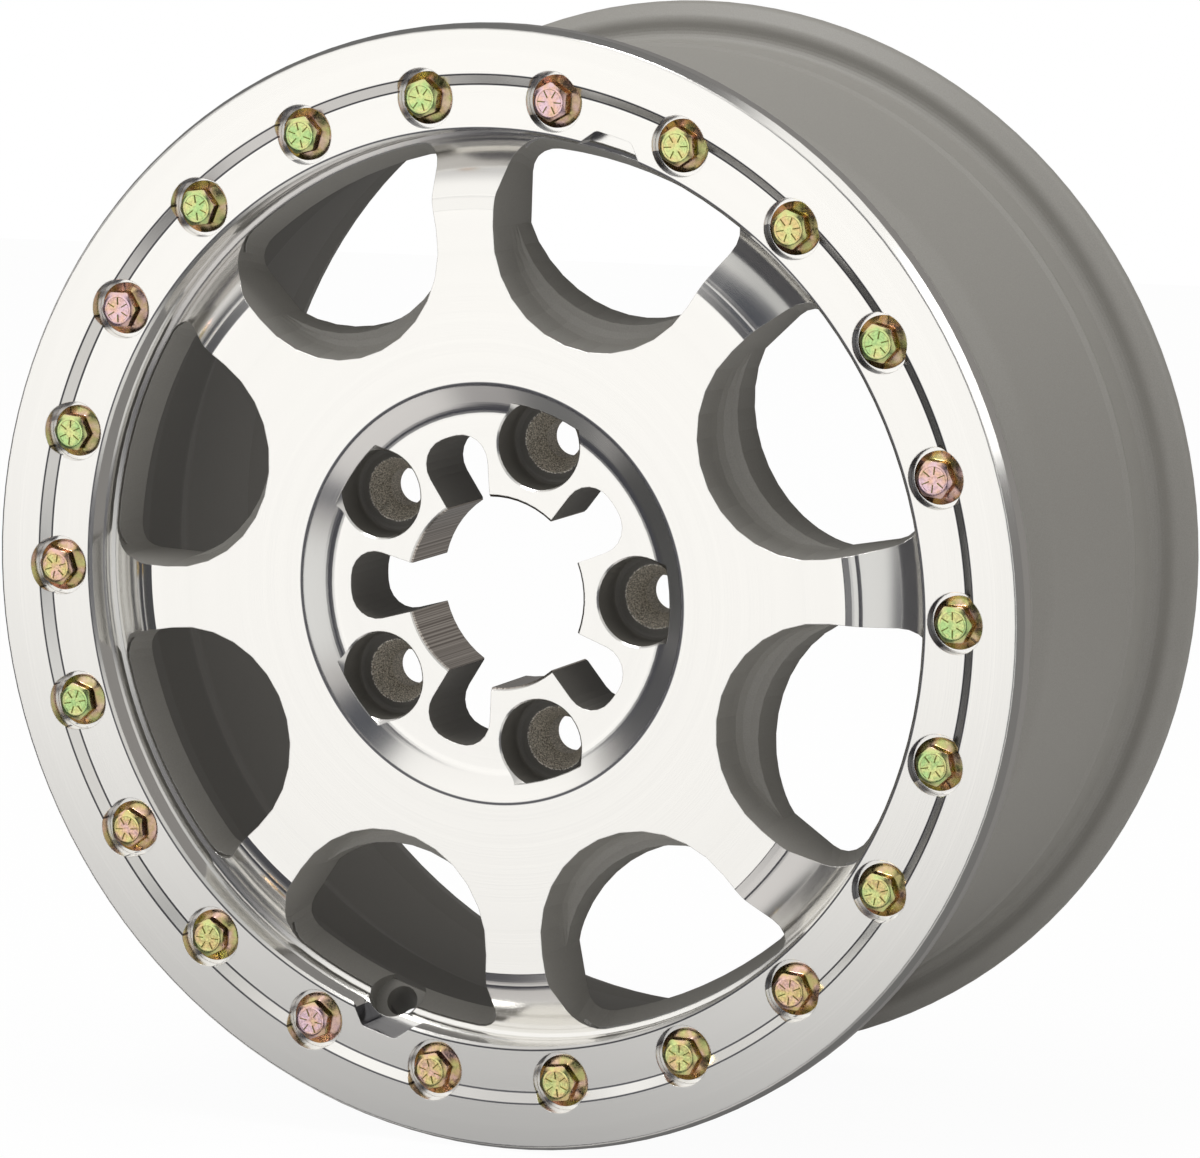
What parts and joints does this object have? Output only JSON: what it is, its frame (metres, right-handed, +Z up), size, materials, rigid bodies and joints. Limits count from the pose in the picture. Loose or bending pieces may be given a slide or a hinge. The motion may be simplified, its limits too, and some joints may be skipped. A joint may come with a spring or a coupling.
{
  "type": "beadlock wheel",
  "caption": "Cast off-road beadlock wheel: spoked disc and drop-centre rim with a bolted front clamp ring that grips the tyre bead.",
  "frame": {"origin": "centre of the lug bolt circle, on the hub mounting face at the back of the disc", "axes": "+Y along the wheel axis towards the vehicle (inboard), +Z up, the clamp ring faces -Y"},
  "size_m": [0.4107, 0.187, 0.4108],
  "materials": {
    "cast_aluminium": "matte warm grey paint, with the spoke faces and the dish machined bright",
    "machined_ring": "fine turned, bright",
    "zinc_bolts": "yellow zinc with an iridescent sheen"
  },
  "bodies": {
    "root": {"wheel_casting": "cast_aluminium", "beadlock_ring": "machined_ring", "ring_bolts": "zinc_bolts"}
  },
  "joints": []
}
